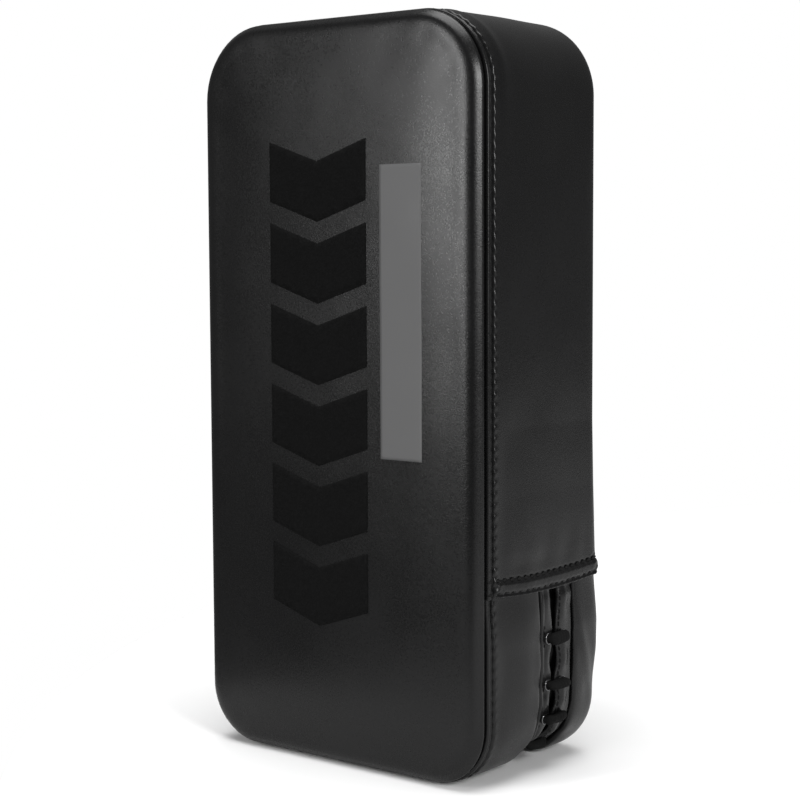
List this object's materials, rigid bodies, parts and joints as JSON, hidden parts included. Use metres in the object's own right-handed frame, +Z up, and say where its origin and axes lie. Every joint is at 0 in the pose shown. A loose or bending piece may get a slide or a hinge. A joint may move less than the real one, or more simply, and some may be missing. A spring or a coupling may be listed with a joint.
{
  "type": "kick shield",
  "caption": "Tall rounded foam kick shield with a laced cover, a padded grip handle and ring-and-tape forearm straps on its back.",
  "frame": {"origin": "middle of the whole object's base, on the surface it stands on, half way between the striking face and the rear of the straps", "axes": "+X across the pad towards the strap rings, +Y from the striking face towards the straps, +Z up from the laced end to the handle end"},
  "size_m": [0.1992, 0.183, 0.4026],
  "materials": {
    "vinyl": "satin",
    "strap": "satin",
    "liner": "matte",
    "foam": "matte",
    "lace": "matte",
    "loop_tape": "matte",
    "hook_tape": "matte",
    "steel": "gloss"
  },
  "bodies": {
    "pad": {"front_panel": "vinyl", "back_panel": "vinyl", "gusset_band": "vinyl", "closure_panel_front": "vinyl", "closure_panel_back": "vinyl", "lacing_facing_front": "vinyl", "lacing_facing_back": "vinyl", "impact_foam": "foam", "foam_core_front": "foam", "foam_core_middle": "foam", "foam_core_back": "foam", "lacing_tongue": "liner", "back_doubler": "liner", "closure_lace": "lace", "eyelet_front_01": "steel", "eyelet_back_01": "steel", "eyelet_front_02": "steel", "eyelet_back_02": "steel", "eyelet_front_03": "steel", "eyelet_back_03": "steel", "eyelet_front_04": "steel", "eyelet_back_04": "steel", "eyelet_front_05": "steel", "eyelet_back_05": "steel", "eyelet_front_06": "steel", "eyelet_back_06": "steel", "eyelet_front_07": "steel", "eyelet_back_07": "steel", "eyelet_front_08": "steel", "eyelet_back_08": "steel", "eyelet_front_09": "steel", "eyelet_back_09": "steel", "eyelet_front_10": "steel", "eyelet_back_10": "steel", "eyelet_front_11": "steel", "eyelet_back_11": "steel", "eyelet_front_12": "steel", "eyelet_back_12": "steel", "eyelet_front_13": "steel", "eyelet_back_13": "steel", "forearm_cushion": "vinyl", "handle_anchor_right": "vinyl", "handle_anchor_left": "vinyl", "upper_forearm_strap": "strap", "upper_ring_tab": "strap", "upper_loop_patch": "loop_tape", "lower_forearm_strap": "strap", "lower_ring_tab": "strap", "lower_loop_patch": "loop_tape"},
    "handle": {"grip_core": "foam", "grip_wrap": "vinyl", "grip_leg_left": "vinyl", "grip_leg_right": "vinyl"},
    "upper_ring": {"upper_strap_ring": "steel"},
    "lower_ring": {"lower_strap_ring": "steel"},
    "upper_tail": {"upper_strap_tail": "strap", "upper_hook_patch": "hook_tape"},
    "lower_tail": {"lower_strap_tail": "strap", "lower_hook_patch": "hook_tape"}
  },
  "joints": [
    {"name": "handle_flex", "type": "hinge", "parent": "pad", "child": "handle", "pos_m": [0, 0.0375, 0.3362], "axis": [1, 0, 0], "range_deg": [-25, 25], "stiffness_Nm_per_rad": 1},
    {"name": "upper_ring_rock", "type": "hinge", "parent": "pad", "child": "upper_ring", "pos_m": [0.06819, 0.02903, 0.2162], "axis": [0, 0, 1], "range_deg": [-5, 5]},
    {"name": "upper_tail_peel", "type": "hinge", "parent": "pad", "child": "upper_tail", "pos_m": [0.05533, 0.06585, 0.2162], "axis": [0, 0, -1], "range_deg": [0, 150]},
    {"name": "lower_ring_rock", "type": "hinge", "parent": "pad", "child": "lower_ring", "pos_m": [0.06819, 0.02903, 0.1062], "axis": [0, 0, 1], "range_deg": [-5, 5]},
    {"name": "lower_tail_peel", "type": "hinge", "parent": "pad", "child": "lower_tail", "pos_m": [0.05533, 0.06585, 0.1062], "axis": [0, 0, -1], "range_deg": [0, 150]}
  ]
}
